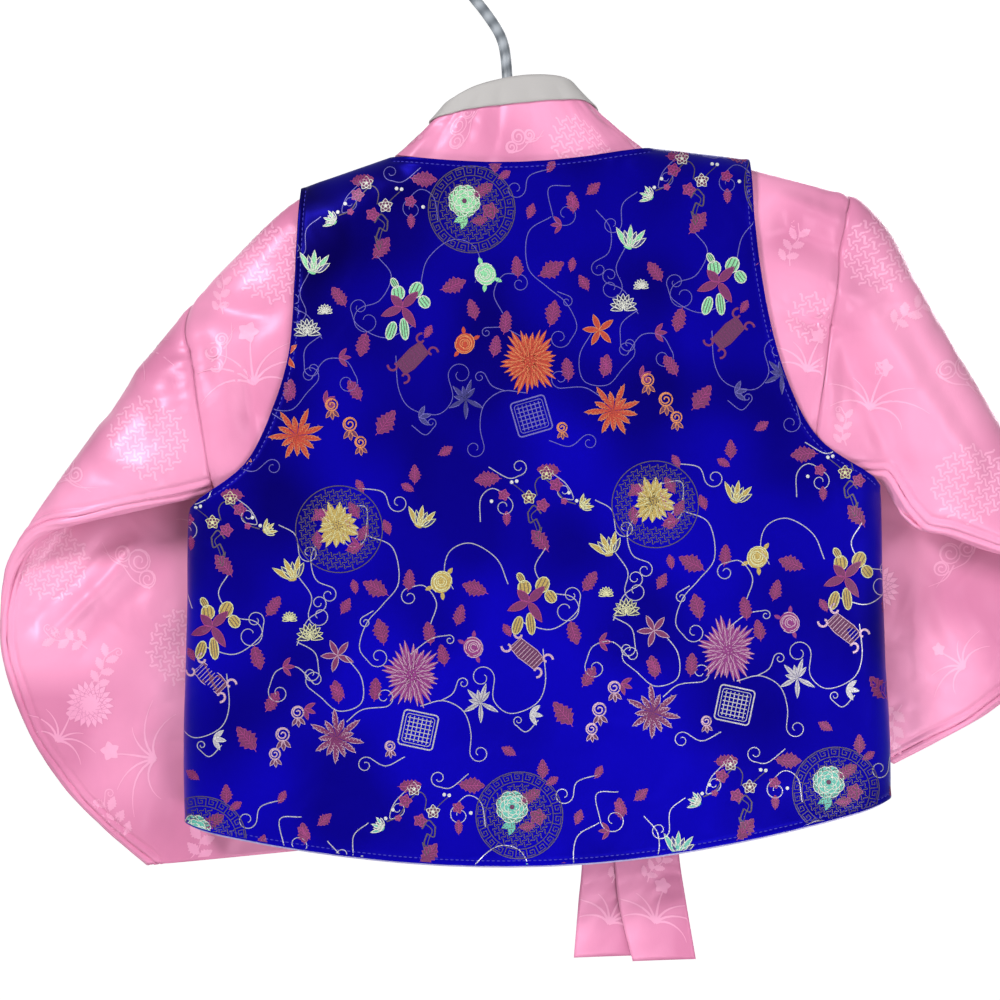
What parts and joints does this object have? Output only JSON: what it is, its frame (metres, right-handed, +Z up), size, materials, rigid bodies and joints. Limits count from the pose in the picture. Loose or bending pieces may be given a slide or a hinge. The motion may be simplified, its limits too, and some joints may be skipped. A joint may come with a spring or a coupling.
{
  "type": "child's hanbok jacket and vest on a clothes hanger",
  "caption": "Child's hanbok set on a hanger: short brocade vest over a satin jacket with curved sleeves folded forward, white-edged collar band and a tied breast ribbon, shown from its back.",
  "frame": {"origin": "the point inside the top of the hook that bears on a rail", "axes": "+Z up; the garment's back faces -Y and its front +Y; +X is the wearer's right-hand side"},
  "size_m": [0.6687, 0.0656, 0.6314],
  "materials": {
    "wrapped_rod": "silvery rod wound with clear film",
    "hanger_plastic": "moulded, slightly glossy",
    "pink_satin": "pink satin damask with a tone-on-tone fret and flower pattern",
    "white_strip": "plain off-white cotton, folded",
    "blue_brocade": "royal blue satin brocade with coloured flowers, leaves and scrolls"
  },
  "bodies": {
    "root": {"hanger_hook": "wrapped_rod", "hanger_arms": "hanger_plastic", "jacket_back": "pink_satin", "jacket_front_left": "pink_satin", "jacket_front_right": "pink_satin", "sleeve_left": "pink_satin", "sleeve_right": "pink_satin", "collar_band": "pink_satin", "collar_strip": "white_strip", "ribbon_knot": "pink_satin", "ribbon_loop": "pink_satin", "ribbon_tail_left": "pink_satin", "ribbon_tail_right": "pink_satin", "vest_back": "blue_brocade", "vest_front_left": "blue_brocade", "vest_front_right": "blue_brocade"}
  },
  "joints": []
}
